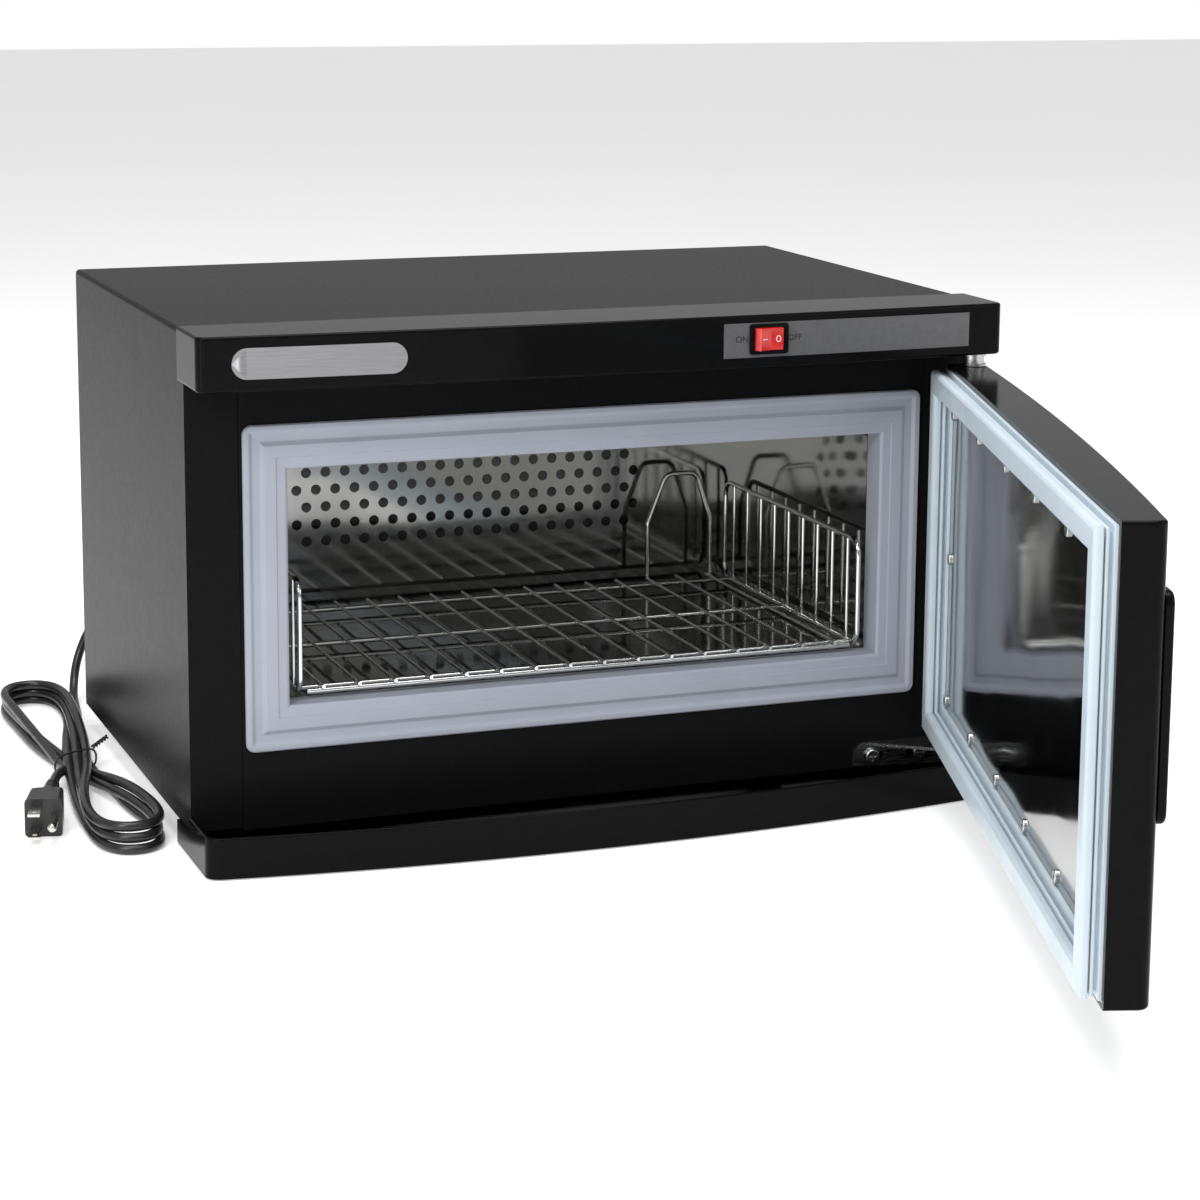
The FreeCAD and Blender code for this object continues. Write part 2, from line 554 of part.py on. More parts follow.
def tray_guides():
    guides = []
    for x in (-120, 120):
        outer = block(x - 9, x + 9, FRONT_Y + TRAY_REAR + 4, FOOT_Y0 + 64, 1.8, BASE_Z - 0.05)
        slot = block(x - 5.4, x + 5.4, FRONT_Y + TRAY_REAR, FOOT_Y0 + 62.6, 3.6, 6.8)
        guides.append(outer.cut(slot))
    return guides


def feet():
    pads, screws = [], []
    for x in (-FOOT_X, FOOT_X):
        for y in (FOOT_Y0, FOOT_Y1):
            cone = Part.makeCone(FOOT_R - 2, FOOT_R, BASE_Z - 0.05, Vector(x, y, 0))
            bore = rod(2.2, Vector(x, y, -1), Vector(x, y, BASE_Z + 1))
            well = rod(5.0, Vector(x, y, -1), Vector(x, y, 6.0))
            pads.append(cone.cut(fuse([bore, well])))
            screws.append(fuse([rod(2.0, Vector(x, y, 5.0), Vector(x, y, BASE_Z + 5)),
                                rod(4.2, Vector(x, y, 3.0), Vector(x, y, 5.9))]))
    return pads, screws


# ------------------------------------------------------------------ door
def door_shell():
    """Bowed outer moulding, hollow towards the cabinet."""
    outer = bowed(DOOR_X0, DOOR_X1, DOOR_BACK_Y, DOOR_BOW, DOOR_RIM_Y, DOOR_Z0, DOOR_Z1, 6.0)
    outer = fillet(outer, 1.6, lambda e, m: not upright(e) and m.y < DOOR_RIM_Y - 0.1)
    w = DOOR_WALL
    room = bowed(DOOR_X0 + w, DOOR_X1 - w, DOOR_BACK_Y + w, DOOR_BOW, DOOR_RIM_Y + 1,
                 DOOR_Z0 + w, DOOR_Z1 - w, 4.0)
    holes = [rod(4.5, Vector(PIN_X, PIN_Y, z - 4), Vector(PIN_X, PIN_Y, z + 4)) for z in (DOOR_Z0, DOOR_Z1)]
    screw_holes = [rod(1.9, Vector(x, DOOR_BACK_Y - 9, z), Vector(x, DOOR_BACK_Y + 5, z))
                   for x in (HANDLE_X,)
                   for z in (HANDLE_Z0 + HANDLE_SCREW_INSET, HANDLE_Z1 - HANDLE_SCREW_INSET)]
    return outer.cut(room).cut(Part.makeCompound(holes)).cut(Part.makeCompound(screw_holes))


def door_surface_y(x):
    middle, half = (DOOR_X0 + DOOR_X1) / 2, (DOOR_X1 - DOOR_X0) / 2
    return DOOR_BACK_Y - DOOR_BOW * (1 - ((x - middle) / half) ** 2)


def door_handle():
    """Upright grip strip near the free edge, raised a few millimetres, with a finger groove."""
    y = door_surface_y(HANDLE_X) + 0.1
    grip = block(HANDLE_X - 9, HANDLE_X + 9, y - 4.4, y - 0.2, HANDLE_Z0, HANDLE_Z1)
    grip = fillet(grip, 6.0, lambda e, m: along_y(e))
    grip = fillet(grip, 2.0, lambda e, m: abs(m.y - (y - 4.4)) < 0.01)
    groove = rod(4.0, Vector(HANDLE_X + 10.5, y - 4.6, HANDLE_Z0 + 8),
                 Vector(HANDLE_X + 10.5, y - 4.6, HANDLE_Z1 - 8))
    outer = bowed(DOOR_X0, DOOR_X1, DOOR_BACK_Y - 0.05, DOOR_BOW, DOOR_RIM_Y, 0, 300)
    return grip.cut(groove).cut(outer)


def handle_screws():
    y = DOOR_BACK_Y + DOOR_WALL - 0.6
    return [pan_head(HANDLE_X, y, z, Vector(0, 1, 0), shank_r=1.5, shank=4.0)
            for z in (HANDLE_Z0 + HANDLE_SCREW_INSET, HANDLE_Z1 - HANDLE_SCREW_INSET)]


def gasket_loop(inset, y0, y1, width):
    outer = rounded_block(GASKET_X0 + inset, GASKET_X1 - inset, y0, y1, GASKET_Z0 + inset,
                          GASKET_Z1 - inset, 1.5)
    w = inset + width
    return outer.cut(block(GASKET_X0 + w, GASKET_X1 - w, y0 - 1, y1 + 1, GASKET_Z0 + w, GASKET_Z1 - w))


def door_gasket():
    """Bellows seal: base strip, two narrow ribs and the wide bar that meets the cabinet."""
    y = DOOR_RIM_Y
    layers = [gasket_loop(0.0, y + 0.05, y + 1.9, 18.0), gasket_loop(4.0, y + 1.8, y + 3.2, 11.0),
              gasket_loop(1.5, y + 3.1, y + 5.0, 15.0), gasket_loop(4.0, y + 4.9, y + 5.9, 10.0),
              gasket_loop(0.5, y + 5.8, GASKET_FACE_Y, GASKET_BAR)]
    seal = fuse(layers)
    magnets = gasket_loop(3.0, y + 6.9, GASKET_FACE_Y - 1.2, 7.5)
    return seal.cut(magnets)


def gasket_magnets():
    """Four flexible magnet strips inside the seal's bar."""
    y0, y1 = DOOR_RIM_Y + 7.0, GASKET_FACE_Y - 1.3
    x0, x1, z0, z1 = GASKET_X0 + 3.2, GASKET_X1 - 3.2, GASKET_Z0 + 3.2, GASKET_Z1 - 3.2
    t = 7.1
    return [block(x0, x1, y0, y1, z0, z0 + t), block(x0, x1, y0, y1, z1 - t, z1),
            block(x0, x0 + t, y0, y1, z0 + t + 0.4, z1 - t - 0.4),
            block(x1 - t, x1, y0, y1, z0 + t + 0.4, z1 - t - 0.4)]


def panel_screw_points():
    """Screws run along all four edges of the inner panel, just inside the seal."""
    x0, x1 = GASKET_X0 + 22.5, GASKET_X1 - 22.5
    z0, z1 = GASKET_Z0 + 22.5, GASKET_Z1 - 22.5
    across = [x0 + (x1 - x0) * i / 5 for i in range(6)]
    points = [(x, z) for x in across for z in (z0, z1)]
    return points + [(x, (z0 + z1) / 2) for x in (x0, x1)]


def door_panel():
    y = DOOR_RIM_Y
    x0, x1 = DOOR_X0 + DOOR_WALL + 0.3, DOOR_X1 - DOOR_WALL - 0.3
    z0, z1 = DOOR_Z0 + DOOR_WALL + 0.3, DOOR_Z1 - DOOR_WALL - 0.3
    holes = [rod(1.65, Vector(x, y - 3, z), Vector(x, y + 1, z)) for x, z in panel_screw_points()]
    return block(x0, x1, y - PANEL_T, y, z0, z1).cut(Part.makeCompound(holes))


def panel_screws():
    """Small cross-head screws through the inner panel."""
    return [pan_head(x, DOOR_RIM_Y + 0.02, z, Vector(0, 1, 0), head_r=3.3, head_h=1.5, shank_r=1.6, shank=4.0)
            for x, z in panel_screw_points()]


def door_insulation():
    w = DOOR_WALL + 0.4
    room = bowed(DOOR_X0 + w, DOOR_X1 - w, DOOR_BACK_Y + w, DOOR_BOW, DOOR_RIM_Y - PANEL_T - 0.2,
                 DOOR_Z0 + w, DOOR_Z1 - w, 4.0)
    tools = [rod(2.4, Vector(x, DOOR_RIM_Y - 4.6, z), Vector(x, DOOR_RIM_Y + 1, z))
             for x, z in panel_screw_points()]
    tools += [rod(7.0, Vector(PIN_X, PIN_Y, z - 20), Vector(PIN_X, PIN_Y, z + 20))
              for z in (DOOR_Z0, DOOR_Z1)]
    tools += [rod(4.4, Vector(HANDLE_X, DOOR_BACK_Y - 9, z), Vector(HANDLE_X, DOOR_BACK_Y + 6, z))
              for z in (HANDLE_Z0 + HANDLE_SCREW_INSET, HANDLE_Z1 - HANDLE_SCREW_INSET)]
    return room.cut(Part.makeCompound(tools))


def door_bushing(z_out, inward):
    """Flanged nylon bush pressed into the end of the door."""
    sleeve = rod(4.45, Vector(PIN_X, PIN_Y, z_out), Vector(PIN_X, PIN_Y, z_out + inward * 13))
    inner_z = z_out + inward * (DOOR_WALL + 0.1)
    collar = rod(6.2, Vector(PIN_X, PIN_Y, inner_z), Vector(PIN_X, PIN_Y, inner_z + inward * 1.6))
    bore = rod(PIN_R + 0.06, Vector(PIN_X, PIN_Y, z_out - inward), Vector(PIN_X, PIN_Y, z_out + inward * 20))
    return fuse([sleeve, collar]).cut(bore)


# ------------------------------------------------------------------ wire rack
def rack_floor():
    """Double front wire, rear wire and the wires that run from front to back."""
    z, y0, y1 = RACK_FLOOR_Z, RACK_Y0, RACK_Y1
    hold = RACK_HALF - 4
    cross = [rod(RIM_R, Vector(-hold, y, z), Vector(hold, y, z)) for y in (y0 + 4,) + RACK_CROSS_Y]
    runs = [rod(WIRE_R, Vector(x, y0 + 2.5, z + RIM_R + 0.6), Vector(x, y1 - 2.5, z + RIM_R + 0.6))
            for x in range(-150, 151, 20)]
    return fuse(cross + runs)


def rack_side():
    """Left side frame: one bent wire loop filled with upright wires. The right one mirrors it."""
    x, z0, z1 = -RACK_HALF, RACK_FLOOR_Z, RACK_SIDE_Z
    y0, y1 = RACK_Y0 + 2, RACK_Y1 - 2
    frame = wire_loop([Vector(x, y0, z0), Vector(x, y0, z1), Vector(x, y1, z1), Vector(x, y1, z0)], RIM_R, 9.0)
    uprights = [rod(WIRE_R, Vector(x, y0 + 14 + 20.5 * i, z0 - 0.5), Vector(x, y0 + 14 + 20.5 * i, z1 + 0.5))
                for i in range(9)]
    ties = [rod(TIE_WIRE_R, Vector(x, y, z0), Vector(-RACK_HALF + 5, y, z0))
            for y in RACK_CROSS_Y]
    return fuse([frame] + uprights + ties)


def rack_handle():
    """Hump-shaped wire at the rear that the hand finds behind the towels."""
    y, z = RACK_Y1 - 4, RACK_FLOOR_Z + 1.6
    route = [Vector(110, y, z), Vector(110, y, 120), Vector(122, y, 150), Vector(142, y, 150),
             Vector(152, y, 120), Vector(152, y, z)]
    return tube_with_radius(route, RIM_R, 7.0)


# ------------------------------------------------------------------ power cord
def hank():
    """Outer shape of the hank: two rounded lobes that narrow to the waist the tie pulls in."""
    lobes = []
    for x, y, r, shoulder_y in LOBES:
        near = WAIST_Y + (9 if y > WAIST_Y else -9)
        outline = [Vector(x - r, y, 0), Vector(x - r, shoulder_y, 0), Vector(WAIST_X - WAIST_HALF, near, 0),
                   Vector(WAIST_X - WAIST_HALF, WAIST_Y, 0), Vector(WAIST_X + WAIST_HALF, WAIST_Y, 0),
                   Vector(WAIST_X + WAIST_HALF, near, 0), Vector(x + r, shoulder_y, 0), Vector(x + r, y, 0)]
        lobes.append(Part.Face(Part.makePolygon(outline + outline[:1])).extrude(Vector(0, 0, HANK_HEIGHT)))
        lobes.append(Part.makeCylinder(r, HANK_HEIGHT, Vector(x, y, 0)))
    half = TIE_LENGTH / 2 + 0.2
    grooves = [block(WAIST_X - 20, WAIST_X + 20, WAIST_Y - half, WAIST_Y + half, z0, z1)
               for z0, z1 in ((-1, 1.2), (HANK_HEIGHT - 2.2, 30))]
    return fuse(lobes).cut(Part.makeCompound(grooves))


def cord_tie():
    """Flat twist tie round the waist, with its twisted ends lying on top."""
    half, reach = TIE_LENGTH / 2, WAIST_HALF + 0.1
    band = block(WAIST_X - reach - TIE_T, WAIST_X + reach + TIE_T, WAIST_Y - half, WAIST_Y + half, 0.15,
                 HANK_HEIGHT - 1.1)
    hole = block(WAIST_X - reach, WAIST_X + reach, WAIST_Y - half - 1, WAIST_Y + half + 1, 1.1,
                 HANK_HEIGHT - 2.1)
    twist = rod(1.6, Vector(WAIST_X + 2, WAIST_Y, HANK_HEIGHT),
                Vector(WAIST_X + 18, WAIST_Y + 9, HANK_HEIGHT + 2))
    return fuse([band.cut(hole), twist])


def plug_frame(shape):
    """Moves a shape drawn along -Y from the origin to where the plug lies, earth pin to the right."""
    shape.rotate(Vector(0, 0, 0), Vector(0, 1, 0), PLUG_ROLL_DEG)
    shape.rotate(Vector(0, 0, 0), Vector(0, 0, 1), PLUG_TURN_DEG)
    shape.translate(PLUG_BACK)
    return shape


def plug_body():
    """Moulded plug with a tapered boot; it lies on its broad side."""
    boot = Part.makeCone(CORD_R + 1.0, 6.2, PLUG_BOOT + 2, Vector(0, 0, 0), Vector(0, -1, 0))
    grooves = [rod(9, Vector(0, -y, 0), Vector(0, -y - 1.6, 0)).cut(
        rod(3.3 + y * 0.085, Vector(0, -y + 1, 0), Vector(0, -y - 3, 0))) for y in (5, 9, 13, 17)]
    y0, y1 = -PLUG_BOOT, -PLUG_BOOT - PLUG_L
    sections = []
    for y, w, h in ((y0, 13.0, 13.0), (y0 - 11, PLUG_W - 2, PLUG_H - 2), (y1, PLUG_W, PLUG_H)):
        corners = [Vector(a * w / 2, y, b * h / 2) for a, b in ((-1, -1), (1, -1), (1, 1), (-1, 1))]
        sections.append(Part.makePolygon(corners + corners[:1]))
    body = Part.makeLoft(sections, True, True)
    body = fillet(body, 2.2, lambda e, m: abs(m.x) > 5.5 and abs(m.z) > 5.5 and e.BoundBox.YLength > 1)
    bore = rod(CORD_R + 0.05, Vector(0, 1, 0), Vector(0, -16, 0))
    return plug_frame(fuse([boot.cut(Part.makeCompound(grooves)), body]).cut(bore))


def plug_prongs():
    """Two flat blades and the round earth pin."""
    face = -PLUG_BOOT - PLUG_L
    blades = [block(x - 0.75, x + 0.75, face - 17, face + 3, 0.5, 6.9) for x in (-6.35, 6.35)]
    blades = [blade.cut(rod(1.5, Vector(-10, face - 12.5, 3.7), Vector(10, face - 12.5, 3.7)))
              for blade in blades]
    earth = rod(2.4, Vector(0, face + 3, -6.0), Vector(0, face - 18.5, -6.0))
    tip = Part.makeSphere(2.4, Vector(0, face - 18.5, -6.0))
    return [plug_frame(piece) for piece in blades + [fuse([earth, tip])]]


def gland():
    """Strain relief: flange outside, snap collar inside, and a tapered boot round the cord."""
    flange = rod(9.5, GLAND + Vector(0, 0.1, 0), GLAND + Vector(0, 3, 0))
    neck = rod(6.3, GLAND + Vector(0, -4, 0), GLAND + Vector(0, 1, 0))
    collar = rod(8.4, GLAND + Vector(0, -6, 0), GLAND + Vector(0, -1.6, 0))
    boot = Part.makeCone(6.2, CORD_R + 1.1, BOOT_LENGTH - 3, GLAND + Vector(0, 3, 0), Vector(0, 1, 0))
    bore = rod(CORD_R + 0.05, GLAND + Vector(0, -8, 0), GLAND + Vector(0, BOOT_LENGTH + 1, 0))
    return fuse([flange, neck, collar, boot]).cut(bore)


def build_body():
    save("outer_shell", outer_shell())
    save("front_panel", front_panel())
    save("back_panel", back_panel())
    save("bottom_panel", bottom_panel())
    save("breaker_frame", breaker_frame())
    save("cavity_liner", cavity_liner())
    save("heater_box", heater_box())
    save("heating_element", heating_element())
    save("cavity_insulation", insulation())
    save("thermostat", thermostat())
    save("thermal_fuse", thermal_fuse())
    save("terminal_block", terminal_block())
    save("wiring", *wiring())
    save("back_panel_screws", *[pan_head(x, REAR_Y, z, Vector(0, 1, 0), shank=4.0)
                                for x in (-218, 0, 218) for z in (24, 268)])
    pads, screws = feet()
    save("rubber_feet", *pads)
    save("foot_screws", *screws)
    save("drip_tray", drip_tray())
    save("tray_guides", *tray_guides())


def build_canopy():
    save("canopy", canopy())
    save("control_strip", control_strip())
    save("badge_plate", badge_plate())
    save("switch_housing", switch_housing())
    save("rocker_switch", rocker())
    save("upper_hinge_plate", upper_hinge_plate())
    save("upper_hinge_pin", upper_hinge_pin())
    save("upper_pin_washers", stack_ring(6.6, DOOR_Z1 + 0.3, DOOR_Z1 + 1.4),
         stack_ring(6.6, CANOPY_Z0 - 1.5, CANOPY_Z0 - 0.3))
    save("upper_pin_spacer", stack_ring(5.6, DOOR_Z1 + 1.5, CANOPY_Z0 - 1.6))
    save("lower_hinge_bracket", lower_hinge_bracket())
    save("lower_hinge_pin", lower_hinge_pin())
    save("lower_pin_washer", stack_ring(6.6, 27.1, DOOR_Z0 - 0.3))
    save("lower_hinge_screws", *[pan_head(x, FRONT_Y - 1.75, 19.2, Vector(0, -1, 0), 4.2, 2.4)
                                 for x in (169.5, 199.5)])


def build_door():
    for name, pieces in (("door_shell", [door_shell()]), ("door_handle", [door_handle()]),
                         ("handle_screws", handle_screws()), ("door_insulation", [door_insulation()]),
                         ("door_inner_panel", [door_panel()]), ("panel_screws", panel_screws()),
                         ("door_gasket", [door_gasket()]), ("gasket_magnets", gasket_magnets()),
                         ("door_top_bushing", [door_bushing(DOOR_Z1, -1)]),
                         ("door_bottom_bushing", [door_bushing(DOOR_Z0, 1)])):
        save(name, *[swung(piece) for piece in pieces])


def build_rack():
    save("rack_floor_wires", rack_floor())
    side = rack_side()
    save("rack_left_side", side)
    save("rack_right_side", side.mirror(Vector(0, 0, 0), Vector(1, 0, 0)))
    save("rack_rear_handle", rack_handle())


def build_cord():
    save("cord_gland", gland())
    for name, route in (("power_cord", LEAD_ROUTE), ("power_cord_tail", TAIL_ROUTE)):
        stretch, bends = tube(route, CORD_R)
        save(name, stretch)
        print(name, "bend radii", [round(r, 1) for r in bends])
    save("cord_hank", hank())
    save("cord_tie", cord_tie())
    plug = plug_body()
    prongs = plug_prongs()
    save("plug_body", plug.cut(Part.makeCompound(prongs)))
    save("plug_prongs", *prongs)


build_body()
build_canopy()
build_door()
build_rack()
build_cord()
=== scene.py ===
import json
import math

import bmesh
import bpy
from mathutils import Matrix, Vector


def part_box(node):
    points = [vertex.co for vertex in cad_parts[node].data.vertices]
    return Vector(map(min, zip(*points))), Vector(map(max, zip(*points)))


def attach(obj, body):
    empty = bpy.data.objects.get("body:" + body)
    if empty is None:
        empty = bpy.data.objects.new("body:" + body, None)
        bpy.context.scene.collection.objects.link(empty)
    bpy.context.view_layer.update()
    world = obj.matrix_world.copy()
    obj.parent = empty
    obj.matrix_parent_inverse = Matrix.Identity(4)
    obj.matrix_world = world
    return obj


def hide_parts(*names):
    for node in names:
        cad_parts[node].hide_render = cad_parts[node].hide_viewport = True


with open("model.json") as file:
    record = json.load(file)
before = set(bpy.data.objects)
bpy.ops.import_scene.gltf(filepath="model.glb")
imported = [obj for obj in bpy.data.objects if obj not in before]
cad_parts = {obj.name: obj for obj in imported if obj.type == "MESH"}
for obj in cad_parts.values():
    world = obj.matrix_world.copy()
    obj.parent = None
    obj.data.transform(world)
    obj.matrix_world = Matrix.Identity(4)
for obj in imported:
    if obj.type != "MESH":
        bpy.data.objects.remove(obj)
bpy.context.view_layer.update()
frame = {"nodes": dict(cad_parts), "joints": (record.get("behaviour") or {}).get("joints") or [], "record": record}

MM = 0.001
JOINTS = {joint["name"]: joint for joint in frame["joints"]}
PIN = Vector(JOINTS["door_hinge"]["pos_m"])
DOOR_OPEN = -math.radians(JOINTS["door_hinge"]["range_deg"][0])
SWING = Matrix.Translation(PIN) @ Matrix.Rotation(DOOR_OPEN, 4, "Z") @ Matrix.Translation(-PIN)
FRONT_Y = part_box("front_panel")[0].y


# ------------------------------------------------------------------ materials
class Shader:
    """One material's node tree, with short ways to add what most of the materials share."""

    def __init__(self, name, colour, roughness, metallic=0.0, **sockets):
        self.material = bpy.data.materials.new(name)
        self.material.use_nodes = True
        self.tree = self.material.node_tree
        self.shader = self.tree.nodes["Principled BSDF"]
        self.set("Base Color", (*colour, 1.0))
        self.set("Roughness", roughness)
        self.set("Metallic", metallic)
        for socket, value in sockets.items():
            self.set(socket.replace("_", " "), value)
        self.place = self.tree.nodes.new("ShaderNodeTexCoord").outputs["Object"]

    def set(self, socket, value):
        self.shader.inputs[socket].default_value = value

    def link(self, output, socket):
        self.tree.links.new(output, socket)

    def stretched(self, scale):
        node = self.tree.nodes.new("ShaderNodeMapping")
        node.inputs["Scale"].default_value = scale
        self.link(self.place, node.inputs["Vector"])
        return node.outputs["Vector"]

    def noise(self, scale, detail=4.0, vector=None, rough=0.55):
        node = self.tree.nodes.new("ShaderNodeTexNoise")
        node.inputs["Scale"].default_value = scale
        node.inputs["Detail"].default_value = detail
        node.inputs["Roughness"].default_value = rough
        self.link(vector or self.place, node.inputs["Vector"])
        return node.outputs["Fac"]

    def spread(self, output, low, high, source=(0.3, 0.7)):
        node = self.tree.nodes.new("ShaderNodeMapRange")
        for socket, value in zip(("From Min", "From Max", "To Min", "To Max"), (*source, low, high)):
            node.inputs[socket].default_value = value
        self.link(output, node.inputs["Value"])
        return node.outputs["Result"]

    def tint(self, output, low, high, source=(0.3, 0.7)):
        """Colour that runs from low to high with a pattern."""
        node = self.tree.nodes.new("ShaderNodeValToRGB")
        node.color_ramp.elements[0].position, node.color_ramp.elements[1].position = source
        node.color_ramp.elements[0].color = (*low, 1.0)
        node.color_ramp.elements[1].color = (*high, 1.0)
        self.link(output, node.inputs["Fac"])
        self.link(node.outputs["Color"], self.shader.inputs["Base Color"])

    def bump(self, output, distance, strength=1.0):
        """Adds one layer of relief; a second call is laid over the first."""
        node = self.tree.nodes.new("ShaderNodeBump")
        node.inputs["Strength"].default_value = strength
        node.inputs["Distance"].default_value = distance
        self.link(output, node.inputs["Height"])
        normal = self.shader.inputs["Normal"]
        if normal.links:
            self.link(normal.links[0].from_socket, node.inputs["Normal"])
        self.link(node.outputs["Normal"], normal)

    def vary_roughness(self, output, low, high):
        self.link(self.spread(output, low, high), self.shader.inputs["Roughness"])


def satin_black_steel():
    s = Shader("satin black steel", (0.0065, 0.0065, 0.007), 0.3, Specular_IOR_Level=0.03)
    s.tint(s.noise(400, 2), (0.006, 0.006, 0.0065), (0.0075, 0.0075, 0.008))
    s.vary_roughness(s.noise(300, 2), 0.27, 0.31)
    s.bump(s.noise(1100, 2), 0.00001, 0.5)
    return s


def gloss_black_plastic():
    s = Shader("gloss black plastic", (0.003, 0.003, 0.0033), 0.11, Specular_IOR_Level=0.06)
    s.tint(s.noise(200, 2), (0.0028, 0.0028, 0.003), (0.0038, 0.0038, 0.004))
    s.vary_roughness(s.noise(150, 2), 0.12, 0.15)
    s.bump(s.noise(10, 1), 0.0003, 0.15)
    return s


def cool_grey_plastic():
    s = Shader("cool grey plastic", (0.33, 0.355, 0.41), 0.38)
    s.tint(s.noise(16), (0.315, 0.34, 0.40), (0.345, 0.37, 0.43))
    s.vary_roughness(s.noise(80), 0.34, 0.44)
    s.bump(s.noise(1400, 2), 0.00001, 0.6)
    return s


def dark_grey_label():
    s = Shader("dark grey label", (0.085, 0.085, 0.09), 0.42)
    s.tint(s.noise(300, 2), (0.078, 0.078, 0.083), (0.095, 0.095, 0.1))
    s.bump(s.noise(1800, 2), 0.00001)
    return s


def silver_label():
    s = Shader("silver label", (0.28, 0.28, 0.29), 0.4, 0.75)
    brushed = s.noise(60, 4, s.stretched((1, 1, 40)))
    s.tint(brushed, (0.24, 0.24, 0.25), (0.33, 0.33, 0.34))
    s.vary_roughness(brushed, 0.36, 0.5)
    return s


def mirror_stainless():
    s = Shader("mirror stainless", (0.28, 0.28, 0.27), 0.07, 1.0)
    s.tint(s.noise(6), (0.25, 0.25, 0.24), (0.31, 0.31, 0.30))
    s.vary_roughness(s.noise(25, 5), 0.05, 0.12)
    s.bump(s.noise(9, 1), 0.004, 0.35)
    return s


def galvanised_steel():
    s = Shader("galvanised steel", (0.45, 0.46, 0.47), 0.5, 0.9)
    s.tint(s.noise(35, 6), (0.36, 0.37, 0.38), (0.54, 0.55, 0.56))
    s.vary_roughness(s.noise(35, 6), 0.42, 0.62)
    return s


def chrome_wire():
    s = Shader("chrome wire", (0.72, 0.72, 0.70), 0.1, 1.0)
    s.tint(s.noise(60), (0.66, 0.66, 0.64), (0.78, 0.78, 0.77))
    s.vary_roughness(s.noise(120), 0.08, 0.18)
    return s


def zinc_screw():
    s = Shader("zinc screw", (0.55, 0.55, 0.55), 0.3, 1.0)
    s.tint(s.noise(400), (0.46, 0.46, 0.46), (0.64, 0.64, 0.63))
    s.vary_roughness(s.noise(500), 0.2, 0.4)
    return s


def black_screw():
    s = Shader("black screw", (0.02, 0.02, 0.02), 0.35, 0.6)
    s.vary_roughness(s.noise(400), 0.28, 0.45)
    return s


def hinge_steel():
    s = Shader("hinge steel", (0.5, 0.51, 0.52), 0.28, 1.0)
    grain = s.noise(80, 5, s.stretched((1, 30, 30)))
    s.tint(grain, (0.44, 0.45, 0.46), (0.60, 0.61, 0.62))
    s.vary_roughness(grain, 0.2, 0.36)
    return s


def black_rubber():
    s = Shader("black rubber", (0.016, 0.016, 0.016), 0.6)
    s.tint(s.noise(90), (0.012, 0.012, 0.012), (0.022, 0.022, 0.022))
    s.bump(s.noise(1500, 3), 0.00003)
    return s


def pale_seal():
    s = Shader("pale seal", (0.52, 0.60, 0.66), 0.36, Subsurface_Weight=0.08,
               Subsurface_Radius=(0.002, 0.002, 0.002))
    s.tint(s.noise(12), (0.485, 0.565, 0.62), (0.56, 0.64, 0.70))
    s.vary_roughness(s.noise(70), 0.3, 0.42)
    s.bump(s.noise(18, 1), 0.001, 0.25)
    return s


def magnet_strip():
    s = Shader("magnet strip", (0.09, 0.08, 0.07), 0.7)
    s.bump(s.noise(700), 0.00004)
    return s


def mineral_wool():
    s = Shader("mineral wool", (0.6, 0.56, 0.42), 0.95)
    s.tint(s.noise(120, 6), (0.5, 0.46, 0.32), (0.7, 0.66, 0.52))
    s.bump(s.noise(260, 5), 0.001)
    return s


def heater_sheath():
    s = Shader("heater sheath", (0.26, 0.24, 0.23), 0.5, 0.8)
    s.tint(s.noise(60), (0.2, 0.18, 0.18), (0.34, 0.31, 0.29))
    return s


def white_nylon():
    s = Shader("white nylon", (0.72, 0.71, 0.67), 0.42)
    s.tint(s.noise(40), (0.68, 0.67, 0.63), (0.76, 0.75, 0.71))
    return s


def lead_sleeve():
    s = Shader("lead sleeve", (0.42, 0.07, 0.05), 0.45)
    s.tint(s.noise(30), (0.38, 0.06, 0.04), (0.46, 0.08, 0.06))
    return s


def foam():
    s = Shader("foam", (0.78, 0.76, 0.66), 0.9)
    s.tint(s.noise(200, 4), (0.7, 0.68, 0.58), (0.84, 0.82, 0.72))
    s.bump(s.noise(500, 3), 0.0004)
    return s


def red_rocker():
    s = Shader("red rocker", (0.4, 0.008, 0.008), 0.14, Coat_Weight=0.4, Emission_Strength=0.22)
    glow = s.noise(170, 2)
    s.tint(glow, (0.28, 0.005, 0.005), (0.48, 0.012, 0.01))
    s.set("Emission Color", (0.9, 0.02, 0.01, 1.0))
    s.vary_roughness(s.noise(90), 0.1, 0.2)
    return s


def cord_pvc():
    s = Shader("cord pvc", (0.012, 0.012, 0.013), 0.33)
    s.tint(s.noise(50), (0.010, 0.010, 0.011), (0.017, 0.017, 0.018))
    s.vary_roughness(s.noise(150), 0.27, 0.4)
    s.bump(s.noise(1600, 2), 0.00002)
    return s


def nickel_prong():
    s = Shader("nickel prong", (0.62, 0.6, 0.55), 0.22, 1.0)
    grain = s.noise(200, 3, s.stretched((8, 1, 8)))
    s.tint(grain, (0.54, 0.52, 0.48), (0.72, 0.7, 0.65))
    s.vary_roughness(grain, 0.16, 0.3)
    return s


def print_ink(name, tone):
    s = Shader(name, (tone, tone, tone), 0.5)
    s.tint(s.noise(500, 2), (tone * 0.9,) * 3, (tone * 1.1,) * 3)
    return s


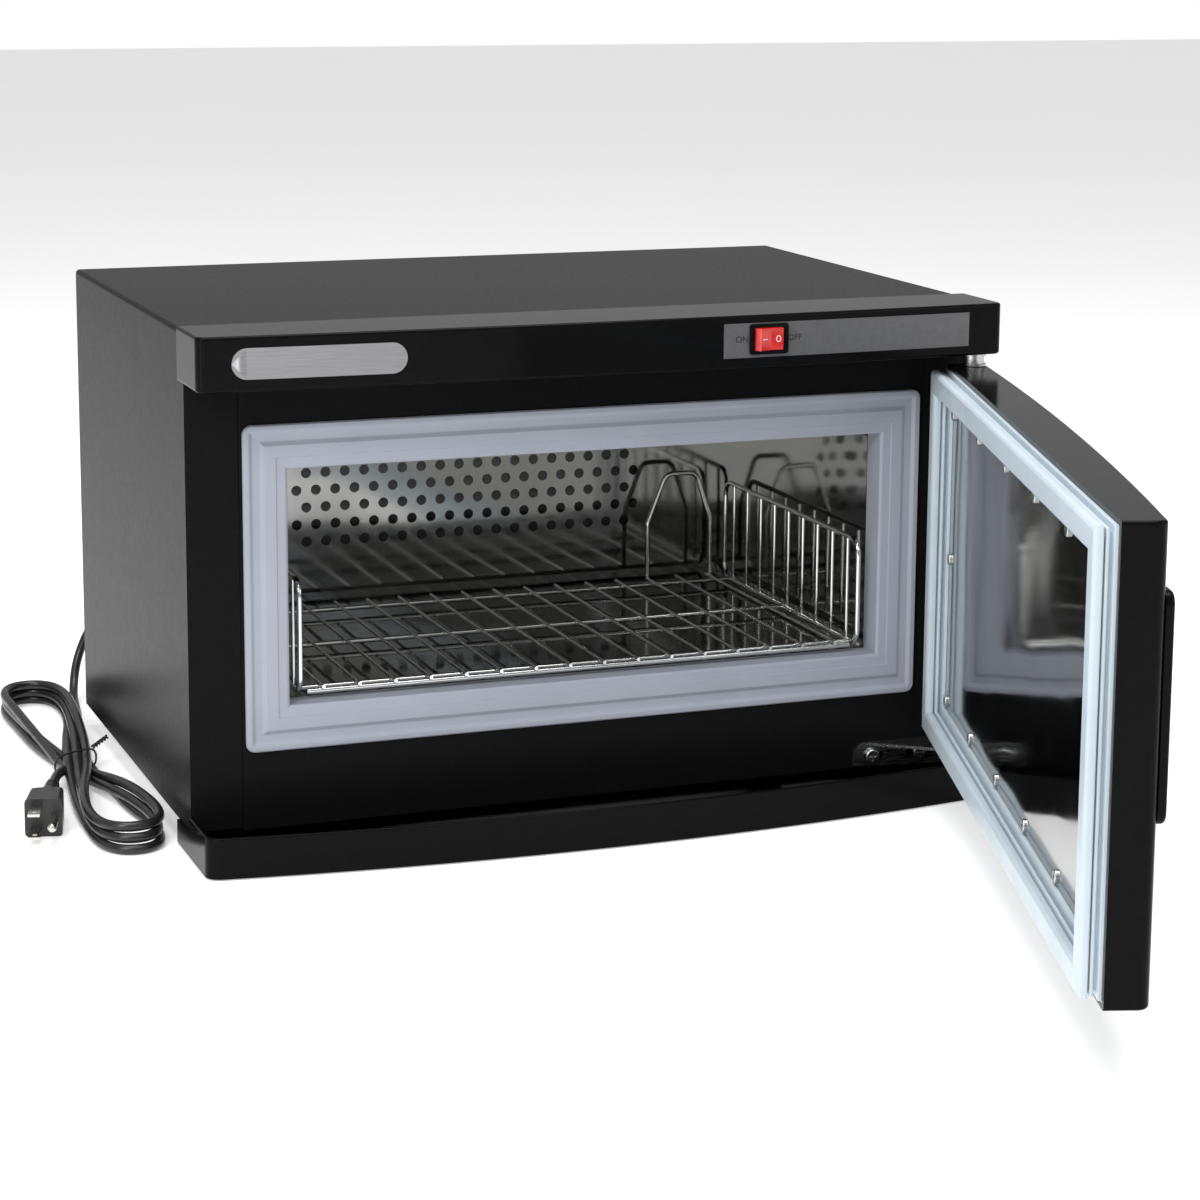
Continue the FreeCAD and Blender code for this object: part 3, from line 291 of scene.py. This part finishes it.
MAKERS = (satin_black_steel, gloss_black_plastic, cool_grey_plastic, dark_grey_label, silver_label,
          mirror_stainless, galvanised_steel, chrome_wire, zinc_screw, black_screw, hinge_steel,
          black_rubber, pale_seal, magnet_strip, mineral_wool, heater_sheath, white_nylon, lead_sleeve,
          foam, red_rocker, cord_pvc, nickel_prong)
MATERIALS = {maker.__name__: maker().material for maker in MAKERS}
PRINT, PALE = print_ink("dark print", 0.012).material, print_ink("pale print", 0.75).material


def paint(obj, slot_name):
    obj.data.materials.clear()
    obj.data.materials.append(MATERIALS[slot_name])
    return obj


for row in frame["record"]["subparts"]:
    paint(frame["nodes"][row["node"]], row["material_slot"])


# ------------------------------------------------------------------ mesh helpers
def mesh_object(name, vertices, faces, smooth_deg=35.0):
    mesh = bpy.data.meshes.new(name)
    mesh.from_pydata([tuple(v) for v in vertices], [], faces)
    work = bmesh.new()
    work.from_mesh(mesh)
    bmesh.ops.recalc_face_normals(work, faces=work.faces)
    for face in work.faces:
        face.smooth = True
    for edge in work.edges:
        if len(edge.link_faces) == 2 and edge.calc_face_angle(0.0) > math.radians(smooth_deg):
            edge.smooth = False
    work.to_mesh(mesh)
    work.free()
    obj = bpy.data.objects.new(name, mesh)
    bpy.context.scene.collection.objects.link(obj)
    return obj


def add_piece(obj, body, slot_name, *replaced):
    """Puts a new piece on its body, in its material, in place of the CAD nodes that it replaces."""
    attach(obj, body)
    paint(obj, slot_name)
    if replaced:
        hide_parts(*replaced)
    return obj


def rounded_outline(corners, steps=5):
    """Closed outline of (u, v, radius) corners, each one rounded with an arc."""
    points = []
    count = len(corners)
    for i, (u, v, radius) in enumerate(corners):
        here = Vector((u, v))
        before = Vector(corners[i - 1][:2]) - here
        after = Vector(corners[(i + 1) % count][:2]) - here
        if radius <= 0:
            points.append(here)
            continue
        half = before.angle(after) / 2
        setback = min(radius / math.tan(half), 0.48 * before.length, 0.48 * after.length)
        start, end = here + before.normalized() * setback, here + after.normalized() * setback
        for k in range(steps + 1):
            t = k / steps
            points.append(start * (1 - t) ** 2 + here * 2 * t * (1 - t) + end * t ** 2)
    return points


LEAST_TURN = 0.12 * MM


def picture_frame(name, outline, low, high, corner_r=0.0, corner_steps=1):
    """Sweeps an outline round an upright rectangle. u runs inwards from the rectangle, v along +Y.

    Corners are round where u is less than corner_r, and all but mitred further in.
    """
    (x0, z0), (x1, z1) = low, high
    stations = []
    for cx, cz, turn in ((x1, z1, 0.0), (x0, z1, 90.0), (x0, z0, 180.0), (x1, z0, 270.0)):
        inward_x, inward_z = (-1 if cx == x1 else 1), (-1 if cz == z1 else 1)
        centre = Vector((cx + inward_x * corner_r, cz + inward_z * corner_r))
        if corner_steps < 2:
            stations.append((centre, Vector((-inward_x, -inward_z)), Vector((inward_x, inward_z))))
            continue
        for k in range(corner_steps + 1):
            angle = math.radians(turn + 90.0 * k / corner_steps)
            outward = Vector((math.cos(angle), math.sin(angle)))
            stations.append((centre, outward, Vector((inward_x, inward_z))))
    vertices, faces = [], []
    for centre, outward, inward in stations:
        for u, v in outline:
            turn_r = max(corner_r - u, LEAST_TURN) if corner_steps > 1 else 0.0
            at = centre + outward * turn_r + inward * (u - corner_r + turn_r)
            vertices.append(Vector((at.x, v, at.y)))
    n, m = len(outline), len(stations)
    for i in range(m):
        for j in range(n):
            faces.append((i * n + j, i * n + (j + 1) % n, (i + 1) % m * n + (j + 1) % n, (i + 1) % m * n + j))
    return mesh_object(name, vertices, faces)


def curve_object(name, points, radius, order=3, cyclic=False, resolution=12, end_points=True):
    data = bpy.data.curves.new(name, "CURVE")
    data.dimensions = "3D"
    data.bevel_depth = 1.0
    data.bevel_resolution = 6
    data.resolution_u = resolution
    data.use_fill_caps = True
    spline = data.splines.new("NURBS")
    spline.points.add(len(points) - 1)
    for point, place in zip(spline.points, points):
        point.co = (*place, 1.0)
        point.radius = radius
    spline.order_u = order
    spline.use_cyclic_u = cyclic
    spline.use_endpoint_u = end_points
    obj = bpy.data.objects.new(name, data)
    bpy.context.scene.collection.objects.link(obj)
    return obj


def spun(name, profile, steps=32):
    """Solid of revolution about the Y axis from (radius, y) points."""
    vertices, faces = [], []
    for k in range(steps):
        angle = 2 * math.pi * k / steps
        vertices += [Vector((r * math.cos(angle), y, r * math.sin(angle))) for r, y in profile]
    n = len(profile)
    for k in range(steps):
        for j in range(n - 1):
            a, b = k * n + j, (k + 1) % steps * n + j
            faces.append((a, b, b + 1, a + 1))
    return mesh_object(name, vertices, faces)


# ------------------------------------------------------------------ breaker frame
def breaker_frame():
    """Moulded ring round the mouth: rounded bead, hollow slope, flat band, lip and throat."""
    low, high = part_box("breaker_frame")
    front, rear = low.y, high.y
    mm = MM
    corners = [(0.0, 1.95, 0.2), (0.0, 1.2, 0.5), (0.7, 0.1, 0.9), (3.2, 0.0, 1.3), (5.2, 1.35, 1.2),
               (9.2, 1.75, 1.5), (11.4, 0.3, 0.3), (17.6, 0.3, 0.2), (17.9, 0.95, 0.15), (22.6, 1.05, 0.5),
               (24.0, 1.85, 0.7), (24.0, 10.0, 0.0), (24.0, 17.8, 0.2), (21.9, 17.8, 0.2), (21.9, 1.98, 0.2)]
    outline = rounded_outline([(u * mm, front + v * mm, r * mm) for u, v, r in corners])
    return picture_frame("breaker_frame_moulding", outline, (low.x, low.z), (high.x, high.z), 5 * mm, 6)


add_piece(breaker_frame(), "cabinet", "cool_grey_plastic", "breaker_frame")


# ------------------------------------------------------------------ door seal
SEAL_LOW, SEAL_HIGH = Vector((-0.215, 0.0355)), Vector((0.220, 0.243))
RIM_Y = PIN.y + 0.013


def door_seal():
    """Bellows seal with mitred corners, drawn on the shut door."""
    corners = [(0.0, 0.1, 0), (0.0, 1.8, 0.5), (3.6, 2.0, 0.5), (3.6, 3.1, 0.5), (1.5, 3.4, 0.8),
               (1.5, 5.1, 0.8), (3.8, 5.3, 0.4), (3.8, 5.8, 0.4), (0.5, 6.0, 0.9), (0.5, 9.4, 1.4),
               (2.4, 10.5, 1.8), (11.6, 10.5, 1.8), (13.5, 9.4, 1.4), (13.5, 6.0, 0.9), (11.2, 5.8, 0.4),
               (11.2, 5.3, 0.4), (14.5, 5.1, 0.8), (14.5, 3.4, 0.8), (11.4, 3.1, 0.5), (11.4, 2.0, 0.5),
               (18.0, 1.8, 0.5), (18.0, 0.1, 0)]
    outline = rounded_outline([(u * MM, RIM_Y + v * MM, r * MM) for u, v, r in corners], 4)
    seal = picture_frame("door_seal_bellows", outline, SEAL_LOW, SEAL_HIGH)
    seal.data.transform(SWING)
    return seal


add_piece(door_seal(), "door", "pale_seal", "door_gasket")


# ------------------------------------------------------------------ power cord
CORD_R = 0.00275
LEAD = [(-196, 166, 60), (-198, 193, 58.5), (-207, 212, 46), (-217, 211, 24), (-222.5, 196, 6.5),
        (-225, 175, 2.75), (-227.5, 154, 2.75), (-233.5, 130, 2.75), (-238, 98, 2.75), (-241.5, 66, 2.75),
        (-242.8, 38, 2.75), (-241.8, 10, 2.75), (-239.5, -18, 2.75)]
TAIL = [(-260.5, 62, 6), (-259.6, 47, 4.5), (-258, 32, 5), (-263.5, 16, 8.6), (-270.62, -0.51, 10.6),
        (-278.12, -28.52, 10.6)]
HANK_MIDDLE = (-250.3, 40.0)
HANK_FROM, HANK_TO, TURN_STEP = 245, -792, 17
LAYER = 5.45


def step(value, low, high):
    t = min(1.0, max(0.0, (value - low) / (high - low)))
    return t * t * (3 - 2 * t)


def hank_turns():
    """Figure-of-eight turns, laid on top of each other; at the waist they cross side by side."""
    points = []
    for degrees in range(HANK_FROM, HANK_TO, -TURN_STEP):
        angle = math.radians(degrees)
        wound = (HANK_FROM - degrees) / 360
        layer = math.floor(wound) + step(wound % 1.0, 0.86, 1.0)
        along = (math.cos(angle) - 0.062 * math.cos(3 * angle)) / 0.938
        side = math.sin(2 * angle)
        near_waist = 1 / (1 + (math.cos(angle) / 0.36) ** 6)
        at_waist = 1 / (1 + (math.cos(angle) / 0.26) ** 6)
        downwards = math.sin(angle) > 0
        lane = (layer - 1) * 5.6 if downwards else (layer - 1.5) * 5.6
        reach_x, reach_y = 17.8 - 0.9 * math.sin(2.3 * layer), 164 - 3.0 * layer
        waist_z = 2.75 + (LAYER if downwards else 0.0)
        points.append((HANK_MIDDLE[0] - 0.7 * along + reach_x * side + lane * near_waist,
                       HANK_MIDDLE[1] + reach_y * along,
                       (2.75 + LAYER * layer) * (1 - at_waist) + waist_z * at_waist))
    return points


def power_cord():
    points = [Vector(p) * MM for p in LEAD + hank_turns() + TAIL]
    return curve_object("power_cord_lead", points, CORD_R)


TIE_R = 0.6 * MM
TIE_TWIST_R = 0.9 * MM
TIE_MIDDLE = (-251, 40)


def tie_loop():
    """Thin twist tie, slanting round the waist over the top layer."""
    half, top, slant = 13.2, 12.0, 0.5
    section = [(-1, 0.35), (-1, 0.75), (-0.8, 1), (-0.3, 1.06), (0.3, 1.06), (0.8, 1), (1, 0.75), (1, 0.35),
               (0.85, 0.06), (0.3, 0.045), (-0.3, 0.045), (-0.85, 0.06)]
    x, y = TIE_MIDDLE
    points = [Vector((x + half * u, y + slant * half * u, top * v)) * MM for u, v in section]
    return curve_object("twist_tie_loop", points, TIE_R, cyclic=True, end_points=False)


def tie_ends():
    """The two ends of the tie twisted round each other, standing off the right side."""
    start, way = Vector((-240, 46, 12.5)) * MM, Vector((10, 6, 4)) * MM
    across, other = Vector((-0.5, 0.85, 0)), Vector((-0.3, -0.2, 0.93))
    ends = []
    for name, phase in (("twist_tie_end_a", 0.0), ("twist_tie_end_b", math.pi)):
        points = []
        for k in range(25):
            t = k / 24
            turn = phase + 5.5 * math.pi * t
            points.append(start + way * t + (across * math.cos(turn) + other * math.sin(turn)) * TIE_TWIST_R)
        ends.append(curve_object(name, points, TIE_R))
    return ends


cord = add_piece(power_cord(), "cabinet", "cord_pvc", "power_cord", "power_cord_tail", "cord_hank")
tie = add_piece(tie_loop(), "cabinet", "black_rubber", "cord_tie")
tie_twist = [add_piece(end, "cabinet", "black_rubber") for end in tie_ends()]


# ------------------------------------------------------------------ marks on the switch
CANOPY_BOW = 0.0055
CANOPY_DEPTH = 0.037
SWITCH_Z = JOINTS["rocker_tilt"]["pos_m"][2]
LETTER_SIZE, LETTER_THICKNESS, LETTER_LIFT = 0.0048, 0.00008, 0.00006
MARK_LINE_R = 0.00022
ROCKER_FACE = 0.0045


def marks():
    """The words beside the switch."""
    half_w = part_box("canopy")[1].x
    for name, body, x in (("mark_on", "ON", 0.0675), ("mark_off", "OFF", 0.0985)):
        data = bpy.data.curves.new(name, "FONT")
        data.body, data.size, data.extrude = body, LETTER_SIZE, LETTER_THICKNESS
        data.align_x, data.align_y = "CENTER", "CENTER"
        obj = bpy.data.objects.new(name, data)
        bpy.context.scene.collection.objects.link(obj)
        canopy_face = FRONT_Y - CANOPY_DEPTH - CANOPY_BOW * (1 - (x / half_w) ** 2)
        obj.location = (x, canopy_face - LETTER_LIFT, SWITCH_Z)
        obj.rotation_euler = (math.pi / 2, 0, math.atan(2 * CANOPY_BOW * x / half_w ** 2))
        data.materials.append(PRINT)
        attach(obj, "cabinet")


def rocker_marks():
    """The two symbols on the rocker."""
    pivot = Vector(JOINTS["rocker_tilt"]["pos_m"])
    tilt = math.radians(10)
    turn = Matrix.Translation(pivot) @ Matrix.Rotation(tilt, 4, "Z")

    def on_face(x, z):
        return turn @ Vector((x, -ROCKER_FACE - abs(x) * math.tan(tilt), z))

    line_points = [on_face(x, 0) for x in (-0.0058, -0.0043, -0.0028)]
    line = curve_object("rocker_mark_i", line_points, MARK_LINE_R)
    round_points = [on_face(0.0042 + 0.0013 * math.cos(math.radians(a)), 0.0017 * math.sin(math.radians(a)))
                    for a in range(0, 360, 45)]
    ring = curve_object("rocker_mark_o", round_points, MARK_LINE_R, cyclic=True, end_points=False)
    for obj in (line, ring):
        obj.data.materials.append(PALE)
        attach(obj, "rocker")


marks()
rocker_marks()


# ------------------------------------------------------------------ studio
ROOM_LIGHT = 0.45
FLOOR_GLOW = 0.35


def area_light(name, place, target, size, power, size_y=None):
    data = bpy.data.lights.new(name, "AREA")
    data.shape = "RECTANGLE"
    data.size, data.size_y = size, size_y or size
    data.energy = power
    lamp = bpy.data.objects.new(name, data)
    bpy.context.scene.collection.objects.link(lamp)
    lamp.location = place
    lamp.rotation_euler = (Vector(target) - Vector(place)).to_track_quat("-Z", "Y").to_euler()
    return lamp


def floor():
    half = 9.0
    corners = [(-half, -half, 0), (half, -half, 0), (half, half, 0), (-half, half, 0)]
    obj = mesh_object("studio_floor", corners, [(0, 1, 2, 3)])
    s = Shader("studio floor", (0.9, 0.9, 0.9), 0.7)
    s.tint(s.noise(3), (0.89, 0.89, 0.89), (0.91, 0.91, 0.91))
    s.set("Emission Color", (1, 1, 1, 1))
    s.set("Emission Strength", FLOOR_GLOW)
    obj.data.materials.append(s.material)
    return obj




def studio():
    world = bpy.data.worlds.new("studio")
    bpy.context.scene.world = world
    world.use_nodes = True
    tree = world.node_tree
    room = tree.nodes["Background"]
    room.inputs["Color"].default_value = (1, 1, 1, 1)
    room.inputs["Strength"].default_value = ROOM_LIGHT
    backdrop = tree.nodes.new("ShaderNodeBackground")
    backdrop.inputs["Color"].default_value = (1, 1, 1, 1)
    mix, path = tree.nodes.new("ShaderNodeMixShader"), tree.nodes.new("ShaderNodeLightPath")
    tree.links.new(path.outputs["Is Camera Ray"], mix.inputs["Fac"])
    tree.links.new(room.outputs["Background"], mix.inputs[1])
    tree.links.new(backdrop.outputs["Background"], mix.inputs[2])
    tree.links.new(mix.outputs["Shader"], tree.nodes["World Output"].inputs["Surface"])
    bpy.context.scene.view_settings.view_transform = "Standard"
    floor()
    area_light("key", (-1.6, -1.6, 1.7), (0, -0.1, 0.15), 0.9, 30)
    area_light("fill", (1.5, -1.9, 1.2), (0, -0.1, 0.15), 0.9, 7)
    area_light("edge", (-1.1, -0.75, 0.15), (0, -0.1, 0.15), 0.08, 0.8, 0.6)
    area_light("top", (0.0, -0.3, 2.2), (0, -0.2, 0.1), 1.6, 45)


def camera():
    """Camera at the photograph's viewing angle, with a small shift for its framing."""
    place = Vector((-0.5663, -1.6407, 0.4924))
    azimuth, elevation, roll = (math.radians(a) for a in (-21.165, 10.247, 0.466))
    back = Vector((math.sin(azimuth) * math.cos(elevation), -math.cos(azimuth) * math.cos(elevation),
                   math.sin(elevation)))
    right = Vector((math.cos(azimuth), math.sin(azimuth), 0))
    up = back.cross(right)
    x_axis = right * math.cos(roll) + up * math.sin(roll)
    y_axis = up * math.cos(roll) - right * math.sin(roll)
    data = bpy.data.cameras.new("camera")
    data.lens, data.sensor_width = 90.46, 36.0
    data.shift_x, data.shift_y = -0.0167, -0.12
    data.clip_start, data.clip_end = 0.05, 60
    obj = bpy.data.objects.new("camera", data)
    bpy.context.scene.collection.objects.link(obj)
    obj.matrix_world = Matrix.Translation(place) @ Matrix((x_axis, y_axis, back)).transposed().to_4x4()
    bpy.context.scene.camera = obj


studio()
camera()
